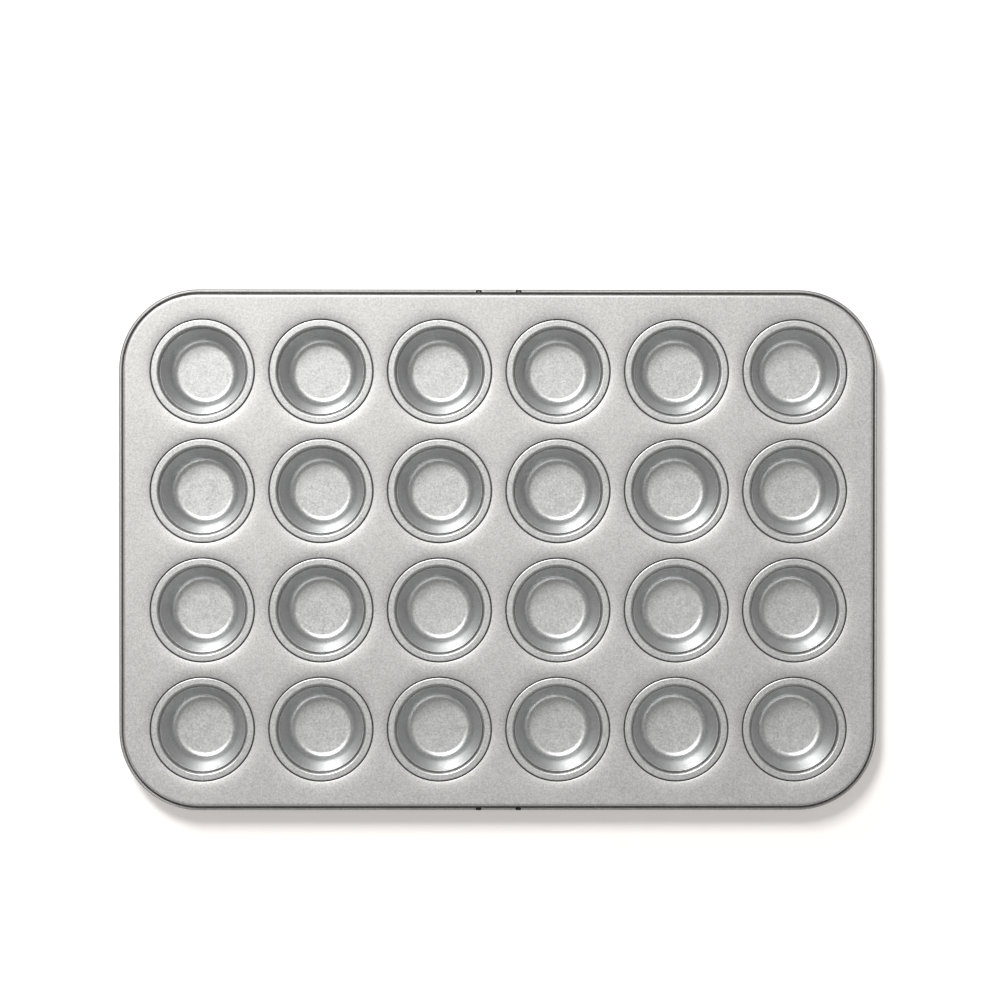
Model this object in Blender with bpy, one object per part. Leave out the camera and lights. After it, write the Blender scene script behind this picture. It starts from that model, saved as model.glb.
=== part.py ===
"""Twenty-four-cup mini muffin tin, made of pressed sheet-metal pieces.

A top sheet has a turned-down skirt with a hollow roll along its foot, and 24 drawn cups are crimped
into its holes. The tin stands on its cup bottoms at z = 0, with +X along its long side and +Z up.
"""

import math

import bmesh
import bpy

# Layout of the cups, centre to centre
COLUMNS = 6
ROWS = 4
COLUMN_PITCH = 0.0593
ROW_PITCH = 0.0597

# Sheet metal
THICKNESS = 0.0005
GAP = 0.0003

# Top sheet: plan sizes are those of the skirt's outer face
TOP_Z = 0.022
HALF_LENGTH = 0.18745
HALF_WIDTH = 0.1279
CORNER_RADIUS = 0.0375
BEND_RADIUS = 0.0012

# Edge of the sheet: a narrow ledge at the skirt's foot, a short riser, then a hollow roll that turns
# out and down and ends just short of the riser
LEDGE_WIDTH = 0.00115
LEDGE_Z = TOP_Z - 0.0068
ROOT_RADIUS = 0.0003
RISER_HEIGHT = 0.0015
ROLL_RADIUS = 0.0008
ROLL_Z = LEDGE_Z + RISER_HEIGHT
ROLL_START_ANGLE = 180
ROLL_END_ANGLE = -90

# Two notches across the roll at the middle of each long side, wider upwards
NOTCH_SPACING = 0.0200
NOTCH_WIDTH = 0.0017
NOTCH_FLARE = 1.5
NOTCH_NEAR = 0.0006
NOTCH_FOOT = 0.00095
NOTCH_MARGIN = 0.0003

# Flange of a cup, which lies in the sheet's dish
FLANGE_SINK = 0.00015
FLANGE_TOP_Z = TOP_Z - FLANGE_SINK
FLANGE_RADIUS = 0.02575
LIP_RADIUS = 0.0231

# Dish and hole in the top sheet under a flange
SHELF_Z = FLANGE_TOP_Z - THICKNESS - GAP
DISH_RADIUS = 0.0292
DISH_FOOT_RADIUS = 0.0263
DISH_FOOT_Z = TOP_Z - 0.0004
SHELF_RADIUS = FLANGE_RADIUS + GAP
HOLE_RADIUS = 0.0234

# Body of a cup: its neck passes the hole, and the bead below it is wider than the hole and holds the cup
CRIMP_STEP = 0.00045
NECK_RADIUS = HOLE_RADIUS - CRIMP_STEP
LOCK_RADIUS = HOLE_RADIUS + CRIMP_STEP
LOCK_DROP = 0.0009
LOCK_Z = SHELF_Z - THICKNESS - LOCK_DROP
WALL_TOP_RADIUS = 0.02175
WALL_TOP_Z = 0.0185
WALL_FOOT_RADIUS = 0.0163
WALL_FOOT_Z = 0.0026
FLOOR_RADIUS = 0.0134

# Fineness of round shapes
CUP_STEPS = 20
CORNER_STEPS = 8
BEND_STEPS = 3
ROOT_STEPS = 2
ROLL_STEPS = 9
SHARP_ANGLE = math.radians(32)


def clear_scene():
    """Remove everything that the file opened with."""
    for item in list(bpy.data.objects):
        bpy.data.objects.remove(item, do_unlink=True)


def coated_metal(name, colour, roughness, metallic):
    """Principled material of a coated metal piece."""
    material = bpy.data.materials.new(name)
    material.use_nodes = True
    shader = material.node_tree.nodes["Principled BSDF"]
    shader.inputs["Base Color"].default_value = (*colour, 1.0)
    shader.inputs["Roughness"].default_value = roughness
    shader.inputs["Metallic"].default_value = metallic
    material.diffuse_color = (*colour, 1.0)
    return material


def arc(centre, radius, start, end, steps):
    """Points on an arc, both ends included, with angles in degrees."""
    points = []
    for step in range(steps + 1):
        angle = math.radians(start + (end - start) * step / steps)
        points.append((centre[0] + radius * math.cos(angle), centre[1] + radius * math.sin(angle)))
    return points


def rim_section():
    """Section of bend, skirt, ledge, riser and roll, as (offset from the skirt's outer face, z) points.

    It runs down the outside from the top face, over the ledge, up the riser and round the outside of the
    roll to the edge of the sheet, then back along the inside of each.
    """
    bend = (-BEND_RADIUS, TOP_Z - BEND_RADIUS)
    root = (ROOT_RADIUS, LEDGE_Z + ROOT_RADIUS)
    heel = (LEDGE_WIDTH - ROOT_RADIUS, LEDGE_Z + ROOT_RADIUS)
    roll = (LEDGE_WIDTH + ROLL_RADIUS, ROLL_Z)
    section = arc(bend, BEND_RADIUS, 90, 0, BEND_STEPS)
    section += arc(root, ROOT_RADIUS, 180, 270, ROOT_STEPS)
    section += arc(heel, ROOT_RADIUS, 270, 360, ROOT_STEPS)
    section += arc(roll, ROLL_RADIUS, ROLL_START_ANGLE, ROLL_END_ANGLE, ROLL_STEPS)
    section += arc(roll, ROLL_RADIUS - THICKNESS, ROLL_END_ANGLE, ROLL_START_ANGLE, ROLL_STEPS)
    section += arc(heel, ROOT_RADIUS + THICKNESS, 360, 270, ROOT_STEPS)
    section += arc(root, ROOT_RADIUS + THICKNESS, 270, 180, ROOT_STEPS)
    section += arc(bend, BEND_RADIUS - THICKNESS, 0, 90, BEND_STEPS)
    return section


def outline(offset):
    """Plan of the tin as a rounded rectangle, moved outwards by an offset from the skirt's outer face."""
    points = []
    radius = CORNER_RADIUS + offset
    for quarter, (side_x, side_y) in enumerate(((1, 1), (-1, 1), (-1, -1), (1, -1))):
        centre = (side_x * (HALF_LENGTH - CORNER_RADIUS), side_y * (HALF_WIDTH - CORNER_RADIUS))
        points += arc(centre, radius, 90 * quarter, 90 * quarter + 90, CORNER_STEPS)
    return points


def hole_section():
    """Section of dish, shelf and hole edge, as (radius, z) points from the top face to the underside."""
    return [
        (DISH_RADIUS, TOP_Z),
        (DISH_FOOT_RADIUS, DISH_FOOT_Z),
        (SHELF_RADIUS, SHELF_Z),
        (HOLE_RADIUS, SHELF_Z),
        (HOLE_RADIUS, SHELF_Z - THICKNESS),
        (SHELF_RADIUS + THICKNESS, SHELF_Z - THICKNESS),
        (DISH_RADIUS, TOP_Z - THICKNESS),
    ]


def cup_section():
    """Section of a cup, as (radius, z) points from the edge of its inner floor to that of its underside."""
    return [
        (FLOOR_RADIUS, THICKNESS),
        (WALL_FOOT_RADIUS, WALL_FOOT_Z),
        (WALL_TOP_RADIUS, WALL_TOP_Z),
        (LIP_RADIUS, FLANGE_TOP_Z),
        (FLANGE_RADIUS, FLANGE_TOP_Z),
        (FLANGE_RADIUS, FLANGE_TOP_Z - THICKNESS),
        (NECK_RADIUS, FLANGE_TOP_Z - THICKNESS),
        (NECK_RADIUS, SHELF_Z - THICKNESS - GAP),
        (LOCK_RADIUS, LOCK_Z),
        (WALL_TOP_RADIUS + THICKNESS, WALL_TOP_Z),
        (WALL_FOOT_RADIUS + THICKNESS, WALL_FOOT_Z - THICKNESS / 2),
        (FLOOR_RADIUS + THICKNESS / 2, 0.0),
    ]


def add_loop(mesh, points):
    """A closed loop of vertices joined by edges."""
    corners = [mesh.verts.new(point) for point in points]
    edges = [mesh.edges.new((corners[i - 1], corners[i])) for i in range(len(corners))]
    return corners, edges


def circle(centre, radius, z):
    """Points of a level circle, the first of them on its +X side."""
    return [(x, y, z) for x, y in arc(centre, radius, 0, 360 - 360 / CUP_STEPS, CUP_STEPS - 1)]


def bridge(mesh, first, second):
    """Faces between two loops that have the same number of vertices."""
    for i in range(len(first)):
        mesh.faces.new((first[i - 1], first[i], second[i], second[i - 1]))


def bridged_loops(mesh, loops):
    """Join a list of point loops in order, and give the edges of the first and the last."""
    made = [add_loop(mesh, points) for points in loops]
    for (first, _), (second, _) in zip(made, made[1:]):
        bridge(mesh, first, second)
    return made[0][1], made[-1][1]


def finish_mesh(name, mesh, material):
    """Turn a bmesh of one closed body into smooth-shaded mesh data with a material."""
    bmesh.ops.recalc_face_normals(mesh, faces=mesh.faces)
    data = bpy.data.meshes.new(name)
    mesh.to_mesh(data)
    mesh.free()
    data.shade_smooth()
    data.set_sharp_from_angle(angle=SHARP_ANGLE)
    data.materials.append(material)
    return data


def place(name, data, location=(0.0, 0.0, 0.0)):
    """Link a named object of the given mesh data to the scene."""
    item = bpy.data.objects.new(name, data)
    item.location = location
    bpy.context.scene.collection.objects.link(item)
    return item


def cup_centres():
    """Row, column and centre of each cup: row 1 is at the back (+Y) and column 1 at the left (-X)."""
    for row in range(ROWS):
        for column in range(COLUMNS):
            x = (column - (COLUMNS - 1) / 2) * COLUMN_PITCH
            y = ((ROWS - 1) / 2 - row) * ROW_PITCH
            yield row + 1, column + 1, (x, y)


def build_sheet(material):
    """Top sheet with its skirt, ledge, roll, dishes and holes."""
    mesh = bmesh.new()
    rim = [[(x, y, z) for x, y in outline(offset)] for offset, z in rim_section()]
    top_edges, under_edges = bridged_loops(mesh, rim)
    for _, _, centre in cup_centres():
        loops = [circle(centre, radius, z) for radius, z in hole_section()]
        top, under = bridged_loops(mesh, loops)
        top_edges += top
        under_edges += under
    for edges in (top_edges, under_edges):
        bmesh.ops.triangle_fill(mesh, use_beauty=True, use_dissolve=False, edges=edges, normal=(0, 0, 1))
    return place("frame_sheet", finish_mesh("frame_sheet", mesh, material))


def notch_loop(middle, side, up):
    """Plan of a notch at a height above the roll's middle, as a loop of four points."""
    far = LEDGE_WIDTH + 2 * ROLL_RADIUS + NOTCH_MARGIN
    half = (NOTCH_WIDTH + NOTCH_FLARE * up) / 2
    corners = ((NOTCH_NEAR, -half), (NOTCH_NEAR, half), (far, half), (far, -half))
    return [(middle + along, side * (HALF_WIDTH + out), ROLL_Z + up) for out, along in corners]


def build_notch_cutter():
    """Four wedges that cut across the roll without reaching the skirt or the ledge."""
    mesh = bmesh.new()
    for side in (1, -1):
        for middle in (-NOTCH_SPACING / 2, NOTCH_SPACING / 2):
            foot = notch_loop(middle, side, -NOTCH_FOOT)
            top = notch_loop(middle, side, ROLL_RADIUS + NOTCH_MARGIN)
            for edges in bridged_loops(mesh, [foot, top]):
                bmesh.ops.contextual_create(mesh, geom=edges)
    bmesh.ops.recalc_face_normals(mesh, faces=mesh.faces)
    data = bpy.data.meshes.new("notch_cutter")
    mesh.to_mesh(data)
    mesh.free()
    cutter = place("notch_cutter", data)
    cutter.hide_render = True
    cutter.display_type = "WIRE"
    return cutter


def cut_notches(sheet):
    """Take the notches out of the sheet's roll."""
    cut = sheet.modifiers.new("notches", "BOOLEAN")
    cut.operation = "DIFFERENCE"
    cut.solver = "EXACT"
    cut.object = build_notch_cutter()


def build_cup_mesh(material):
    """One drawn cup, turned about its own upright axis."""
    mesh = bmesh.new()
    loops = [circle((0.0, 0.0), radius, z) for radius, z in cup_section()]
    for edges in bridged_loops(mesh, loops):
        bmesh.ops.contextual_create(mesh, geom=edges)
    return finish_mesh("cup", mesh, material)


def main():
    clear_scene()
    sheet_coating = coated_metal("sheet_coating", (0.52, 0.52, 0.515), 0.38, 0.7)
    cup_coating = coated_metal("cup_coating", (0.50, 0.505, 0.51), 0.34, 0.7)
    cut_notches(build_sheet(sheet_coating))
    cup = build_cup_mesh(cup_coating)
    for row, column, (x, y) in cup_centres():
        place(f"cup_r{row}_c{column}", cup, (x, y, 0.0))


main()
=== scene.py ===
"""Looks of the 24-cup mini muffin tin: fine sheet-metal shapes and coating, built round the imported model."""

import math

import bmesh
import bpy
import numpy as np
from mathutils import Matrix, Vector


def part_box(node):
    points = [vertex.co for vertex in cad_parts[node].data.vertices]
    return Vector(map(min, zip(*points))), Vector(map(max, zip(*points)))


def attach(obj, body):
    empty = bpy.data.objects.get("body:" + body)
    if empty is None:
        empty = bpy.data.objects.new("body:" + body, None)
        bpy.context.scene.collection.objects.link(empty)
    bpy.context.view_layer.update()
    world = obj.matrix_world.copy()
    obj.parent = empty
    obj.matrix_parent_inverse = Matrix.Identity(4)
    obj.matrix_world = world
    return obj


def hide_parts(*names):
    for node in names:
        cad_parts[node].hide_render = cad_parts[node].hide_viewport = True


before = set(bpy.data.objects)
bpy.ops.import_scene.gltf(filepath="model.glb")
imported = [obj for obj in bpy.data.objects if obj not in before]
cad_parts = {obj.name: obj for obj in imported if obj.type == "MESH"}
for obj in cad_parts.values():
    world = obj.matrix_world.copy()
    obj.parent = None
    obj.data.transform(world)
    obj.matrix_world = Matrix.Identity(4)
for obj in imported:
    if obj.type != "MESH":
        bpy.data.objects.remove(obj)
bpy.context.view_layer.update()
sheet_low, sheet_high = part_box("frame_sheet")
CUP_NODES = sorted(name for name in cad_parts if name.startswith("cup_"))
CENTRES = np.array([((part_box(n)[0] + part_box(n)[1]) / 2)[:2] for n in CUP_NODES])

# Sheet metal
THICKNESS = 0.0005

# Top sheet, from the size of its CAD node. Angles are in degrees, from the outward direction towards up
LEDGE_WIDTH = 0.00115
ROOT_RADIUS = 0.0003
RISER_HEIGHT = 0.0015
ROLL_RADIUS = 0.0008
ROLL_START_ANGLE = 180
ROLL_END_ANGLE = -106
ROLL_SIDE_ANGLE = 80
TOP_Z = sheet_high.z
LEDGE_Z = sheet_low.z + THICKNESS
ROLL_Z = LEDGE_Z + RISER_HEIGHT
HALF_LENGTH = sheet_high.x - LEDGE_WIDTH - 2 * ROLL_RADIUS
HALF_WIDTH = sheet_high.y - LEDGE_WIDTH - 2 * ROLL_RADIUS
CORNER_RADIUS = 0.0375
SHOULDER_RADIUS = 0.004
SHOULDER_TILT = 12
BEND_RADIUS = 0.00062
FIELD_OFFSET = -0.0020

# Two notches across the roll at the middle of each long side. A notch gains NOTCH_FLARE times its height in
# width. NOTCH_NEAR is how far it starts from the skirt, NOTCH_FOOT how far it goes below the roll's middle,
# and CUT_DEPTH how far inside the roll a face's centre has to lie to count as cut by a notch
NOTCH_SPACING = 0.0200
NOTCH_WIDTH = 0.0015
NOTCH_FLARE = 1.75
NOTCH_NEAR = 0.0006
NOTCH_FOOT = 0.00010
NOTCH_MARGIN = 0.0003
CUT_DEPTH = 0.00004

# Flange of a cup, and the recess in the sheet that it lies in
FLANGE_TOP_Z = TOP_Z - 0.00015
FLANGE_FOOT_Z = TOP_Z - 0.0009
FLANGE_RADIUS = 0.02582
SHELF_Z = TOP_Z - 0.00125
HOLE_RADIUS = 0.0234
RECESS_RADIUS = 0.02625
RECESS_EDGE = 0.0003
SHELF_BACK_RADIUS = 0.0264
SHELF_BACK_SLOPE = 0.0008
# The recess's rounded lip as (angle, wear, painted shade) steps, the shade darkening the seam round the flange
RECESS_LIP = ((68, 0.7, 0.0), (45, 1.0, 0.0), (22, 0.6, 0.4), (0, 0.0, 1.0))

# The sheet sinks towards each cup, steeply near the flange and hardly at all a cup's radius away
DIP_DEPTH = 0.00036
DIP_RADIUS = RECESS_RADIUS + RECESS_EDGE
DIP_REACH = 0.0024

# Fineness, and the distances at which points count as the same or hold a face flat
POINT_DIGITS = 7
BISECTIONS = 48
SMALLEST = 1e-9
ROUND_STEPS = 96
FIELD_RINGS = 9
BACK_RINGS = 4
FIELD_GRADING = 1.6
INNER_ARC_STEP = math.radians(15)
OUTER_ARC_STEP = math.radians(22)
SHOULDER_STEPS = 4
BEND_STEPS = 7
ROOT_STEPS = 4
ROLL_STEPS = 20
ROLL_INNER_STEPS = 8
HOLD_DISTANCE = 0.00012
MERGE_DISTANCE = 0.000002
SHARP_ANGLE = math.radians(38)

# Painted shade, a near-black colour standing in for shade: on the rim's bend, groove and roll, thicker at the
# back left, all over the inside of the curl, and in each cup's crevice, thicker at the front right. Each pair
# is the mean share and its change to the back left
BACK_LEFT = Vector((-0.45, 0.89)).normalized()
RIM_PAINTED_SHADE = (0.35, 0.55)
CUP_PAINTED_SHADE = (0.5, -0.5)
BEND_PAINTED_SHADE = 0.15
GROOVE_PAINTED_SHADE = 0.85
ROLL_PAINTED_SHADE = 0.8
CURL_PAINTED_SHADE = 1.0
EDGE_WEAR = 0.1
ROLL_WEAR = 0.2

# Section of a cup as (radius, z, fillet radius, wear, painted shade) corners, from the axis out to the
# flange's edge.
# The painted shade darkens the crevice under the lip and the flange's foot in the seam
CUP_INSIDE = (
    (0.0, THICKNESS, 0.0, 0.0, 0.0),
    (0.01605, THICKNESS, 0.0036, 0.1, 0.0),
    (0.0181, 0.0086, 0.030, 0.0, 0.0),
    (0.0210, 0.0182, 0.00035, 0.1, 0.0),
    (0.0213, 0.0181, 0.00010, 0.0, 0.5),
    (0.0220, 0.0177, 0.00030, 0.0, 0.9),
    (0.0222, 0.0197, 0.00030, 0.0, 0.9),
    (0.0221, 0.0199, 0.00010, 0.0, 0.5),
    (0.0221, FLANGE_TOP_Z, 0.00090, 0.5, 0.0),
    (FLANGE_RADIUS, FLANGE_TOP_Z, 0.0005, 0.5, 0.0),
    (FLANGE_RADIUS, FLANGE_FOOT_Z, 0.0, 0.0, 1.0),
)
CUP_OUTSIDE = (
    (0.0, 0.0, 0.0, 0.0, 0.0),
    (0.01642, 0.0, 0.0041, 0.5, 0.0),
    (0.01862, 0.0085, 0.030, 0.0, 0.0),
    (0.0211, 0.0159, 0.0002, 0.0, 0.0),
    (0.0235, 0.0157, 0.0008, 0.4, 0.0),
    (0.0235, 0.02015, 0.00065, 0.4, 0.0),
    (0.02295, 0.02035, 0.0001, 0.0, 0.0),
    (0.02295, FLANGE_TOP_Z - THICKNESS, 0.0005, 0.0, 0.0),
    (FLANGE_RADIUS - THICKNESS, FLANGE_TOP_Z - THICKNESS, 0.0002, 0.0, 0.0),
    (FLANGE_RADIUS - THICKNESS, FLANGE_FOOT_Z, 0.0, 0.0, 1.0),
    (FLANGE_RADIUS, FLANGE_FOOT_Z, 0.0, 0.0, 1.0),
)

# Coating, as (dark, light, worn) colours and a roughness
SHEET_COLOURS = ((0.411, 0.410, 0.404), (0.611, 0.610, 0.602), (0.70, 0.70, 0.69))
SHEET_ROUGHNESS = 0.50
CUP_COLOURS = ((0.445, 0.45, 0.453), (0.67, 0.675, 0.677), (0.72, 0.72, 0.71))
CUP_ROUGHNESS = 0.41
METALLIC = 0.9
COAT_WEIGHT = 0.12
COAT_ROUGHNESS = 0.3
# Near-black colour of the painted shade in grooves, crevices, seams and notches
PAINTED_SHADE_COLOUR = (0.024, 0.022, 0.021)

# Grains per metre of each kind of unevenness, and the middle of a noise's range
GRAIN_SCALE = 1150
FINE_SCALE = 3100
MOTTLE_SCALE = 170
CLOUD_SCALE = 16
FLAKE_SCALE = 1900
NOISE_MIDDLE = (0.3, 0.7)
BUMP_STRENGTH = 0.25
BUMP_DISTANCE = 0.00004

# The floor lies a hair under the cups, so that no two faces share a plane
FLOOR_Z = -0.00002
FLOOR_HALF_SIZE = 4.0
FLOOR_COLOUR = (0.87, 0.84, 0.82, 1.0)
FLOOR_ROUGHNESS = 0.9
FLOOR_GLOW_COLOUR = (1.0, 0.97, 0.95, 1.0)
FLOOR_GLOW = 0.28

# Light: direction, width, depth, power and colour of each softbox, and the surround
SOFTBOX_DISTANCE = 3.0
KEY_LIGHT = ((-0.245, 0.54, 1.0), 0.5, 0.85, 65.0, (1.0, 0.995, 0.985))
SIDE_LIGHT = ((-0.42, 0.80, 0.55), 1.6, 1.6, 15.0, (0.95, 0.985, 1.0))
SURROUND_COLOUR = (1.0, 0.985, 0.965, 1.0)
SURROUND_AT_HORIZON = 0.12
SURROUND_OVERHEAD = 0.46

# Camera
CAMERA_PLACE = (-0.0242, 0.0483, 1.908)
CAMERA_ANGLES = (-0.6998, -0.7532, 0.042)
CAMERA_LENS = 135.7
CAMERA_SENSOR = 36.0
CAMERA_REACH = 20.0


# ---------------------------------------------------------------- sections and meshes

def arc(centre, radius, start, end, steps):
    """Points on an arc, both ends included, with angles in degrees."""
    points = []
    for step in range(steps + 1):
        angle = math.radians(start + (end - start) * step / steps)
        points.append((centre[0] + radius * math.cos(angle), centre[1] + radius * math.sin(angle)))
    return points


def filleted(corners, arc_step):
    """Open line through corners, rounded where a corner has a fillet radius, as (x, z, wear, painted shade)
    points.

    A point close to each end of a fillet holds the straight part beside it flat when shaded smooth.
    """
    line = []
    for i, (x, z, radius, wear, dirt) in enumerate(corners):
        here = Vector((x, z))
        if radius == 0.0:
            line.append((x, z, wear, dirt))
            continue
        before = (Vector(corners[i - 1][:2]) - here).normalized()
        after = (Vector(corners[i + 1][:2]) - here).normalized()
        half = before.angle(after) / 2
        reach = radius / math.tan(half)
        centre = here + (before + after).normalized() * radius / math.sin(half)
        spoke = here + before * reach - centre
        sweep = spoke.angle_signed(here + after * reach - centre)
        steps = max(2, round(abs(sweep) / arc_step))
        if radius > 2 * HOLD_DISTANCE:
            line.append((*(here + before * (reach + HOLD_DISTANCE)), 0.0, dirt))
        for step in range(steps + 1):
            point = centre + Matrix.Rotation(-sweep * step / steps, 2) @ spoke
            share = math.sin(math.pi * step / steps)
            line.append((point.x, point.y, wear * share, dirt))
        if radius > 2 * HOLD_DISTANCE:
            line.append((*(here + after * (reach + HOLD_DISTANCE)), 0.0, dirt))
    return line


class Builder:
    """Collects vertices, their wear and painted shade, and faces, and turns them into one object."""

    def __init__(self):
        self.points, self.wear, self.dirt, self.faces = [], [], [], []

    def ring(self, points, wear=0.0, dirt=0.0):
        """Add a loop of points and give their numbers; painted shade is one value, or a list with one per
        point.
        """
        first = len(self.points)
        self.points += [tuple(point) for point in points]
        self.wear += [wear] * len(points)
        self.dirt += dirt if isinstance(dirt, list) else [dirt] * len(points)
        return list(range(first, len(self.points)))

    def bridge(self, first, second):
        """Faces between two closed rings with the same number of points."""
        for i in range(len(first)):
            self.faces.append((first[i - 1], first[i], second[i], second[i - 1]))

    def rings(self, rings):
        """Bridge a list of rings one after another."""
        for first, second in zip(rings, rings[1:]):
            self.bridge(first, second)

    def fan(self, centre, ring, outwards=True):
        """Close a ring with triangles to a centre point."""
        middle = self.ring([centre])[0]
        for i in range(len(ring)):
            pair = (ring[i - 1], ring[i]) if outwards else (ring[i], ring[i - 1])
            self.faces.append((middle, *pair))

    def make(self, name, material):
        """The finished object, smooth shaded, with attributes for wear and painted shade."""
        mesh = bpy.data.meshes.new(name)
        mesh.from_pydata(self.points, [], self.faces)
        for attribute, values in (("wear", self.wear), ("dirt", self.dirt)):
            data = mesh.attributes.new(attribute, "FLOAT", "POINT").data
            data.foreach_set("value", np.array(values, np.float32))
        weld(mesh)
        mesh.shade_smooth()
        mesh.set_sharp_from_angle(angle=SHARP_ANGLE)
        mesh.materials.append(material)
        item = bpy.data.objects.new(name, mesh)
        bpy.context.scene.collection.objects.link(item)
        return item


def weld(mesh):
    """Merge points that coincide, and turn all faces outwards."""
    work = bmesh.new()
    work.from_mesh(mesh)
    bmesh.ops.remove_doubles(work, verts=work.verts, dist=MERGE_DISTANCE)
    bmesh.ops.recalc_face_normals(work, faces=work.faces)
    work.to_mesh(mesh)
    work.free()


# ---------------------------------------------------------------- cups

def turn_angles():
    """Angles of the points round a circle."""
    return [2 * math.pi * i / ROUND_STEPS for i in range(ROUND_STEPS)]


def painted_shade_share(direction, painted_shade_amounts):
    """Share of the painted shade on one side of the tin or of a cup."""
    mean, change = painted_shade_amounts
    return max(0.0, mean + change * direction.dot(BACK_LEFT))


def circle(centre, radius, z):
    """Points of a level circle round a centre."""
    return [(centre.x + radius * math.cos(a), centre.y + radius * math.sin(a), z) for a in turn_angles()]


def build_cup(node, material):
    """One drawn cup: flat floor, round corner, tapered wall, locking bead, lip and flange."""
    low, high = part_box(node)
    centre = (low + high) / 2
    made = Builder()
    inside = filleted(CUP_INSIDE, INNER_ARC_STEP)
    outside = filleted(CUP_OUTSIDE, OUTER_ARC_STEP)
    line = inside[1:] + outside[::-1][1:-1]
    shares = [painted_shade_share(Vector((math.cos(a), math.sin(a))), CUP_PAINTED_SHADE) for a in turn_angles()]
    rings = []
    for radius, z, wear, dirt in line:
        rings.append(made.ring(circle(centre, radius, z), wear, [dirt * share for share in shares]))
    made.rings(rings)
    made.fan((centre.x, centre.y, inside[0][1]), rings[0])
    made.fan((centre.x, centre.y, outside[0][1]), rings[-1], outwards=False)
    return made.make(node.replace("cup_", "drawn_cup_"), material)


# ---------------------------------------------------------------- top sheet

def sheet_height(x, y):
    """Height of the sheet's top face at a point, with its dips round the cups."""
    reach = np.hypot(CENTRES[:, 0] - x, CENTRES[:, 1] - y)
    dips = np.exp(-np.maximum(reach - DIP_RADIUS, 0.0) / DIP_REACH)
    return TOP_Z - DIP_DEPTH * float(dips.sum())


def field_half_sizes():
    """Half length, half width and corner radius of the sheet's flat field, inside its bend."""
    return HALF_LENGTH + FIELD_OFFSET, HALF_WIDTH + FIELD_OFFSET, CORNER_RADIUS + FIELD_OFFSET


def outward(x, y):
    """Vector from the field's corner-centre rectangle to a point."""
    half_x, half_y, radius = field_half_sizes()
    across = max(abs(x) - (half_x - radius), 0.0) * math.copysign(1, x)
    along = max(abs(y) - (half_y - radius), 0.0) * math.copysign(1, y)
    return Vector((across, along))


def field_reach(centre, angle):
    """Distance from a cup's centre to the edge of the field, along an angle."""
    radius = field_half_sizes()[2]
    near, far = 0.0, 2 * HALF_LENGTH
    for _ in range(BISECTIONS):
        middle = (near + far) / 2
        x, y = centre[0] + middle * math.cos(angle), centre[1] + middle * math.sin(angle)
        if outward(x, y).length < radius:
            near = middle
        else:
            far = middle
    return near


def half_way(values, value, side):
    """The line half way to the next cup on one side, or None beyond the last cup."""
    further = [v for v in values if (v - value) * side > THICKNESS]
    return None if not further else (value + min(further, key=lambda v: abs(v - value))) / 2


def cell_edge(centre):
    """Edge of the part of the sheet round one cup: a point for each step, and whether it is on the rim."""
    half_x, half_y, _ = field_half_sizes()
    columns, rows = sorted(set(CENTRES[:, 0].round(6))), sorted(set(CENTRES[:, 1].round(6)))
    walls_x = {side: half_way(columns, centre[0], side) for side in (-1, 1)}
    walls_y = {side: half_way(rows, centre[1], side) for side in (-1, 1)}
    edge, on_rim = [], []
    for angle in turn_angles():
        across, along = math.cos(angle), math.sin(angle)
        reach, rim = field_reach(centre, angle), True
        for direction, walls, here in ((across, walls_x, centre[0]), (along, walls_y, centre[1])):
            wall = walls[1 if direction > 0 else -1]
            if wall is not None and abs(direction) > SMALLEST and (wall - here) / direction < reach:
                reach, rim = (wall - here) / direction, False
        edge.append((centre[0] + reach * across, centre[1] + reach * along))
        on_rim.append(rim)
    for side_x, wall_x in walls_x.items():
        for side_y, wall_y in walls_y.items():
            if wall_x is None and wall_y is None:
                continue
            x = side_x * half_x if wall_x is None else wall_x
            y = side_y * half_y if wall_y is None else wall_y
            angle = math.atan2(y - centre[1], x - centre[0]) % (2 * math.pi)
            nearest = round(angle / (2 * math.pi) * ROUND_STEPS) % ROUND_STEPS
            edge[nearest] = (x, y)
            on_rim[nearest] = wall_x is None or wall_y is None
    return edge, on_rim


def field_rings(made, centre, edge, start, count, drop):
    """Rings of the sheet's face from a circle round a cup out to the edge of the cup's cell."""
    rings = []
    for k in range(count + 1):
        share = (k / count) ** FIELD_GRADING
        points = []
        for angle, (edge_x, edge_y) in zip(turn_angles(), edge):
            x = centre[0] + start * math.cos(angle)
            y = centre[1] + start * math.sin(angle)
            x, y = x + (edge_x - x) * share, y + (edge_y - y) * share
            points.append((x, y, sheet_height(x, y) - drop))
        rings.append(made.ring(points))
    return rings


def recess_rings(made, centre):
    """Rings of the recess under a flange, from the sheet's top face down to the shelf and its hole."""
    middle = Vector((centre[0], centre[1], 0.0))
    lip = [sheet_height(x, y) for x, y, _ in circle(middle, DIP_RADIUS, 0.0)]
    rings = []
    for angle, wear, dirt in RECESS_LIP:
        radius = DIP_RADIUS - RECESS_EDGE * math.cos(math.radians(angle))
        fall = RECESS_EDGE * (1 - math.sin(math.radians(angle)))
        points = [(x, y, z - fall) for (x, y, _), z in zip(circle(middle, radius, 0.0), lip)]
        rings.append(made.ring(points, wear, dirt))
    # Painted shade on the shelf's top darkens the seam round the flange
    shelf = (
        (RECESS_RADIUS, SHELF_Z, 1.0),
        (HOLE_RADIUS, SHELF_Z, 1.0),
        (HOLE_RADIUS, SHELF_Z - THICKNESS, 0.0),
        (SHELF_BACK_RADIUS, SHELF_Z - THICKNESS, 0.0),
    )
    for radius, z, dirt in shelf:
        rings.append(made.ring(circle(middle, radius, z), 0.0, dirt))
    return rings


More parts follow.
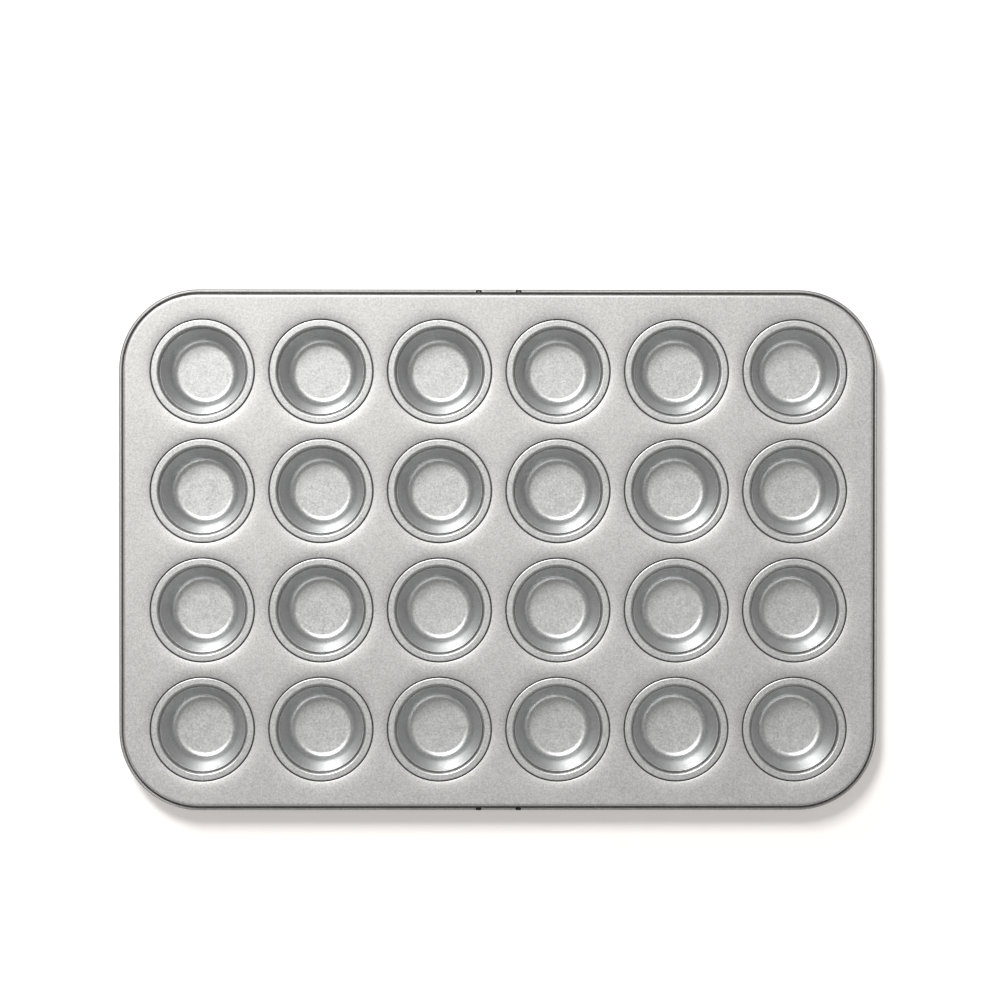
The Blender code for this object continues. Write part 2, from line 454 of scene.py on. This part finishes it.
def rim_section():
    """Section of bend, skirt, ledge, riser and roll, as (offset from the skirt's face, z, wear, painted shade)
    points.

    It runs down the outside from the top face, over the ledge, up the riser and round the outside of the
    roll to the edge of the sheet, then back along the inside of each.
    """
    tilt = math.radians(SHOULDER_TILT)
    bend_z = TOP_Z - SHOULDER_RADIUS * (1 - math.cos(tilt)) - BEND_RADIUS * math.cos(tilt)
    bend = (-BEND_RADIUS, bend_z)
    slack = SHOULDER_RADIUS - BEND_RADIUS
    shoulder = (-BEND_RADIUS - slack * math.sin(tilt), bend_z - slack * math.cos(tilt))
    root = (ROOT_RADIUS, LEDGE_Z + ROOT_RADIUS)
    heel = (LEDGE_WIDTH - ROOT_RADIUS, LEDGE_Z + ROOT_RADIUS)
    roll = (LEDGE_WIDTH + ROLL_RADIUS, ROLL_Z)
    bend_start = 90 - SHOULDER_TILT
    # Painted shade lies on the bend, in the groove by the root and heel, on the roll's outer half and inside
    # the curl
    pieces = (
        (arc(shoulder, SHOULDER_RADIUS, 90, bend_start, SHOULDER_STEPS)[:-1], EDGE_WEAR, 0.0),
        (arc(bend, BEND_RADIUS, bend_start, 0, BEND_STEPS), EDGE_WEAR, BEND_PAINTED_SHADE),
        (arc(root, ROOT_RADIUS, 180, 270, ROOT_STEPS), 0.0, GROOVE_PAINTED_SHADE),
        (arc(heel, ROOT_RADIUS, 270, 360, ROOT_STEPS), 0.0, GROOVE_PAINTED_SHADE),
        (arc(roll, ROLL_RADIUS, ROLL_START_ANGLE, ROLL_SIDE_ANGLE, ROLL_INNER_STEPS), ROLL_WEAR, 0.0),
        (arc(roll, ROLL_RADIUS, ROLL_SIDE_ANGLE, ROLL_END_ANGLE, ROLL_STEPS)[1:], 0.0, ROLL_PAINTED_SHADE),
        (arc(roll, ROLL_RADIUS - THICKNESS, ROLL_END_ANGLE, ROLL_START_ANGLE, ROLL_STEPS), 0.0, CURL_PAINTED_SHADE),
        (arc(heel, ROOT_RADIUS + THICKNESS, 360, 270, ROOT_STEPS), 0.0, 0.0),
        (arc(root, ROOT_RADIUS + THICKNESS, 270, 180, ROOT_STEPS), 0.0, 0.0),
        (arc(bend, BEND_RADIUS - THICKNESS, 0, bend_start, BEND_STEPS), 0.0, 0.0),
        (arc(shoulder, SHOULDER_RADIUS - THICKNESS, bend_start, 90, SHOULDER_STEPS)[1:], 0.0, 0.0),
    )
    section = []
    for points, wear, dirt in pieces:
        last = len(points) - 1
        section += [(x, z, wear * math.sin(math.pi * i / last), dirt) for i, (x, z) in enumerate(points)]
    return section


def build_sheet(material):
    """Top sheet: field with dips and recesses, bend, skirt and rolled edge."""
    made = Builder()
    rim_points = set()
    for centre in CENTRES:
        edge, on_rim = cell_edge(centre)
        on_edge = [point for point, rim in zip(edge, on_rim) if rim]
        rim_points.update((round(x, POINT_DIGITS), round(y, POINT_DIGITS)) for x, y in on_edge)
        top = field_rings(made, centre, edge, DIP_RADIUS, FIELD_RINGS, 0.0)
        recess = recess_rings(made, centre)
        back = field_rings(made, centre, edge, SHELF_BACK_RADIUS + SHELF_BACK_SLOPE, BACK_RINGS, THICKNESS)
        made.rings(top[::-1] + recess + back)
    perimeter = sorted(rim_points, key=lambda p: math.atan2(p[1], p[0]))
    normals = [outward(x, y).normalized() for x, y in perimeter]
    section = [(FIELD_OFFSET, None, 0.0, 0.0)] + rim_section() + [(FIELD_OFFSET, None, 0.0, 0.0)]
    rings = []
    for k, (offset, z, wear, dirt) in enumerate(section):
        points = []
        for (x, y), normal in zip(perimeter, normals):
            drop = THICKNESS if k else 0.0
            height = sheet_height(x, y) - drop if z is None else z
            out = normal * (offset - FIELD_OFFSET)
            points.append((x + out.x, y + out.y, height))
        # Painted shade: full inside the curl, elsewhere thicker at the back left
        shares = [1.0 if dirt == CURL_PAINTED_SHADE else painted_shade_share(normal, RIM_PAINTED_SHADE) for normal in normals]
        rings.append(made.ring(points, wear, [dirt * share for share in shares]))
    made.rings(rings)
    sheet = made.make("top_sheet", material)
    cut_notches(sheet)
    return sheet


def notch_ring(middle, side, up):
    """Plan of a notch at a height above the roll's middle."""
    far = LEDGE_WIDTH + 2 * ROLL_RADIUS + NOTCH_MARGIN
    half = (NOTCH_WIDTH + NOTCH_FLARE * up) / 2
    corners = ((NOTCH_NEAR, -half), (NOTCH_NEAR, half), (far, half), (far, -half))
    return [(middle + along, side * (HALF_WIDTH + out), ROLL_Z + up) for out, along in corners]


def cut_notches(sheet):
    """Cut two V notches across the roll at the middle of each long side."""
    made = Builder()
    for side in (1, -1):
        for middle in (-NOTCH_SPACING / 2, NOTCH_SPACING / 2):
            # The cutter's rings carry full painted shade
            foot = made.ring(notch_ring(middle, side, -NOTCH_FOOT), 0.0, 1.0)
            top = made.ring(notch_ring(middle, side, ROLL_RADIUS + NOTCH_MARGIN), 0.0, 1.0)
            made.bridge(foot, top)
            made.faces += [tuple(foot), tuple(top[::-1])]
    cutter = made.make("notch_cutter", sheet.data.materials[0])
    cut = sheet.modifiers.new("notches", "BOOLEAN")
    cut.operation, cut.solver, cut.object = "DIFFERENCE", "EXACT", cutter
    bpy.context.view_layer.update()
    graph = bpy.context.evaluated_depsgraph_get()
    done = bpy.data.meshes.new_from_object(sheet.evaluated_get(graph))
    sheet.modifiers.clear()
    sheet.data = done
    done.set_sharp_from_angle(angle=SHARP_ANGLE)
    bpy.data.objects.remove(cutter, do_unlink=True)
    paint_cut_shade(done)


def paint_cut_shade(mesh):
    """Paint full shade on the notches' cut faces, where the hollow roll's dark inside shows.

    It is stored corner by corner, so that the roll beside a cut keeps its own values.
    """
    points = mesh.attributes["dirt"].data
    painted_shade_amounts = [0.0] * len(mesh.loops)
    for face in mesh.polygons:
        out = abs(face.center.y) - HALF_WIDTH - LEDGE_WIDTH - ROLL_RADIUS
        inside = math.hypot(out, face.center.z - ROLL_Z) < ROLL_RADIUS - CUT_DEPTH
        cut = inside and abs(face.center.x) < NOTCH_SPACING
        for loop, vertex in zip(face.loop_indices, face.vertices):
            painted_shade_amounts[loop] = 1.0 if cut else points[vertex].value
    mesh.attributes.remove(mesh.attributes["dirt"])
    mesh.attributes.new("dirt", "FLOAT", "CORNER").data.foreach_set("value", painted_shade_amounts)


# ---------------------------------------------------------------- coating

def new_node(tree, kind, **values):
    """A shader node with its input sockets set by name; keys in capitals set the node's own properties."""
    node = tree.nodes.new(kind)
    for key, value in values.items():
        if hasattr(node, key) and key not in node.inputs:
            setattr(node, key, value)
        else:
            node.inputs[key].default_value = value
    return node


def noise(tree, coordinates, scale, detail, roughness=0.55):
    """Noise texture whose scale is in grains per metre."""
    node = new_node(tree, "ShaderNodeTexNoise", Scale=scale, Detail=detail, Roughness=roughness)
    tree.links.new(coordinates, node.inputs["Vector"])
    return node.outputs["Fac"]


def mapped(tree, value, low, high, from_low=0.0, from_high=1.0):
    """A value moved from one range to another."""
    node = tree.nodes.new("ShaderNodeMapRange")
    node.inputs["From Min"].default_value = from_low
    node.inputs["From Max"].default_value = from_high
    node.inputs["To Min"].default_value = low
    node.inputs["To Max"].default_value = high
    tree.links.new(value, node.inputs["Value"])
    return node.outputs["Result"]


def combine(tree, operation, first, second):
    """Two values joined by a sum or a product; the second may be a number."""
    node = tree.nodes.new("ShaderNodeMath")
    node.operation = operation
    tree.links.new(first, node.inputs[0])
    if isinstance(second, (int, float)):
        node.inputs[1].default_value = second
    else:
        tree.links.new(second, node.inputs[1])
    return node.outputs[0]


def mixed(tree, factor, first, second):
    """Colour between two colours, or between a colour socket and a colour."""
    node = tree.nodes.new("ShaderNodeMix")
    node.data_type = "RGBA"
    tree.links.new(factor, node.inputs["Factor"])
    for value, socket in ((first, node.inputs[6]), (second, node.inputs[7])):
        if isinstance(value, tuple):
            socket.default_value = (*value, 1.0)
        else:
            tree.links.new(value, socket)
    return node.outputs[2]


def silver_coating(name, colours, roughness):
    """Silver non-stick coating: metallic grain, soft mottling, slightly bare edges, and painted shade in
    crevices, grooves, seams and notches.
    """
    dark, light, worn = colours
    material = bpy.data.materials.new(name)
    material.use_nodes = True
    tree = material.node_tree
    shader = tree.nodes["Principled BSDF"]
    shader.inputs["Metallic"].default_value = METALLIC
    shader.inputs["Coat Weight"].default_value = COAT_WEIGHT
    shader.inputs["Coat Roughness"].default_value = COAT_ROUGHNESS
    place = tree.nodes.new("ShaderNodeTexCoord").outputs["Object"]
    grain = noise(tree, place, GRAIN_SCALE, 3)
    fine = noise(tree, place, FINE_SCALE, 2)
    mottle = noise(tree, place, MOTTLE_SCALE, 2)
    cloud = noise(tree, place, CLOUD_SCALE, 2)
    flakes = new_node(tree, "ShaderNodeTexVoronoi", Scale=FLAKE_SCALE)
    tree.links.new(place, flakes.inputs["Vector"])
    split = tree.nodes.new("ShaderNodeSeparateColor")
    tree.links.new(flakes.outputs["Color"], split.inputs["Color"])
    tone = mapped(tree, grain, -0.14, 0.54, *NOISE_MIDDLE)
    tone = combine(tree, "ADD", tone, mapped(tree, split.outputs["Red"], 0.0, 0.56))
    tone = combine(tree, "ADD", tone, mapped(tree, mottle, 0.0, 0.08, *NOISE_MIDDLE))
    tone = combine(tree, "ADD", tone, mapped(tree, cloud, 0.0, 0.10, *NOISE_MIDDLE))
    colour = mixed(tree, tone, dark, light)
    edge = new_node(tree, "ShaderNodeAttribute", attribute_name="wear")
    wear = combine(tree, "MULTIPLY", edge.outputs["Fac"], mapped(tree, fine, 0.0, 0.6, 0.42, 0.62))
    colour = mixed(tree, wear, colour, worn)
    # Painted shade: the painted shade attribute, broken up by mottling, mixes in the near-black colour
    painted_shade_node = new_node(tree, "ShaderNodeAttribute", attribute_name="dirt")
    dirt = combine(tree, "MULTIPLY", painted_shade_node.outputs["Fac"], mapped(tree, mottle, 0.85, 1.0, *NOISE_MIDDLE))
    colour = mixed(tree, dirt, colour, PAINTED_SHADE_COLOUR)
    tree.links.new(colour, shader.inputs["Base Color"])
    rough = mapped(tree, grain, roughness - 0.05, roughness + 0.05, *NOISE_MIDDLE)
    rough = combine(tree, "ADD", rough, mapped(tree, mottle, -0.02, 0.02, *NOISE_MIDDLE))
    rough = combine(tree, "SUBTRACT", rough, combine(tree, "MULTIPLY", wear, 0.08))
    tree.links.new(rough, shader.inputs["Roughness"])
    bump = new_node(tree, "ShaderNodeBump", Strength=BUMP_STRENGTH, Distance=BUMP_DISTANCE)
    relief = combine(tree, "ADD", grain, combine(tree, "MULTIPLY", fine, 0.4))
    tree.links.new(relief, bump.inputs["Height"])
    tree.links.new(bump.outputs["Normal"], shader.inputs["Normal"])
    return material


# ---------------------------------------------------------------- stage, light and camera

def aim(item, target):
    """Turn a light or camera to a point, with +Y up in its picture."""
    item.rotation_euler = (Vector(target) - item.location).to_track_quat("-Z", "Y").to_euler()


def build_floor():
    """Plain pale floor under the tin."""
    material = bpy.data.materials.new("pale_floor")
    material.use_nodes = True
    shader = material.node_tree.nodes["Principled BSDF"]
    shader.inputs["Base Color"].default_value = FLOOR_COLOUR
    shader.inputs["Roughness"].default_value = FLOOR_ROUGHNESS
    shader.inputs["Emission Color"].default_value = FLOOR_GLOW_COLOUR
    shader.inputs["Emission Strength"].default_value = FLOOR_GLOW
    mesh = bpy.data.meshes.new("floor")
    size = FLOOR_HALF_SIZE
    corners = [(x, y, FLOOR_Z) for x, y in ((-size, -size), (size, -size), (size, size), (-size, size))]
    mesh.from_pydata(corners, [], [(0, 1, 2, 3)])
    mesh.materials.append(material)
    floor = bpy.data.objects.new("floor", mesh)
    bpy.context.scene.collection.objects.link(floor)


def build_softbox(name, direction, width, depth, power, colour):
    """Rectangular area light aimed at the tin, its depth running up the picture."""
    data = bpy.data.lights.new(name, "AREA")
    data.shape = "RECTANGLE"
    data.size = width
    data.size_y = depth
    data.energy = power
    data.color = colour
    light = bpy.data.objects.new(name, data)
    light.location = Vector(direction).normalized() * SOFTBOX_DISTANCE
    light.visible_camera = False
    bpy.context.scene.collection.objects.link(light)
    aim(light, (0.0, 0.0, TOP_Z))


def build_light():
    """A key light and a weak side light from the back left, in a surround that is palest overhead."""
    build_softbox("key", *KEY_LIGHT)
    build_softbox("side", *SIDE_LIGHT)
    world = bpy.data.worlds.new("surround")
    world.use_nodes = True
    tree = world.node_tree
    background = tree.nodes["Background"]
    background.inputs["Color"].default_value = SURROUND_COLOUR
    direction = tree.nodes.new("ShaderNodeTexCoord").outputs["Generated"]
    split = tree.nodes.new("ShaderNodeSeparateXYZ")
    tree.links.new(direction, split.inputs["Vector"])
    strength = mapped(tree, split.outputs["Z"], SURROUND_AT_HORIZON, SURROUND_OVERHEAD)
    tree.links.new(strength, background.inputs["Strength"])
    bpy.context.scene.world = world
    bpy.context.scene.view_settings.view_transform = "Standard"


def build_camera():
    """Camera almost straight above, a little to the left of and behind the tin's middle."""
    data = bpy.data.cameras.new("camera")
    data.sensor_width = CAMERA_SENSOR
    data.lens = CAMERA_LENS
    data.clip_end = CAMERA_REACH
    camera = bpy.data.objects.new("camera", data)
    camera.location = CAMERA_PLACE
    camera.rotation_euler = [math.radians(angle) for angle in CAMERA_ANGLES]
    bpy.context.scene.collection.objects.link(camera)
    bpy.context.scene.camera = camera


def main():
    """Build the stage and every piece."""
    build_camera()
    build_light()
    build_floor()
    sheet_coating = silver_coating("sheet_coating", SHEET_COLOURS, SHEET_ROUGHNESS)
    cup_coating = silver_coating("cup_coating", CUP_COLOURS, CUP_ROUGHNESS)
    sheet = build_sheet(sheet_coating)
    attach(sheet, "root")
    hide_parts("frame_sheet")
    for node in CUP_NODES:
        cup = build_cup(node, cup_coating)
        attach(cup, "root")
        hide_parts(node)


main()
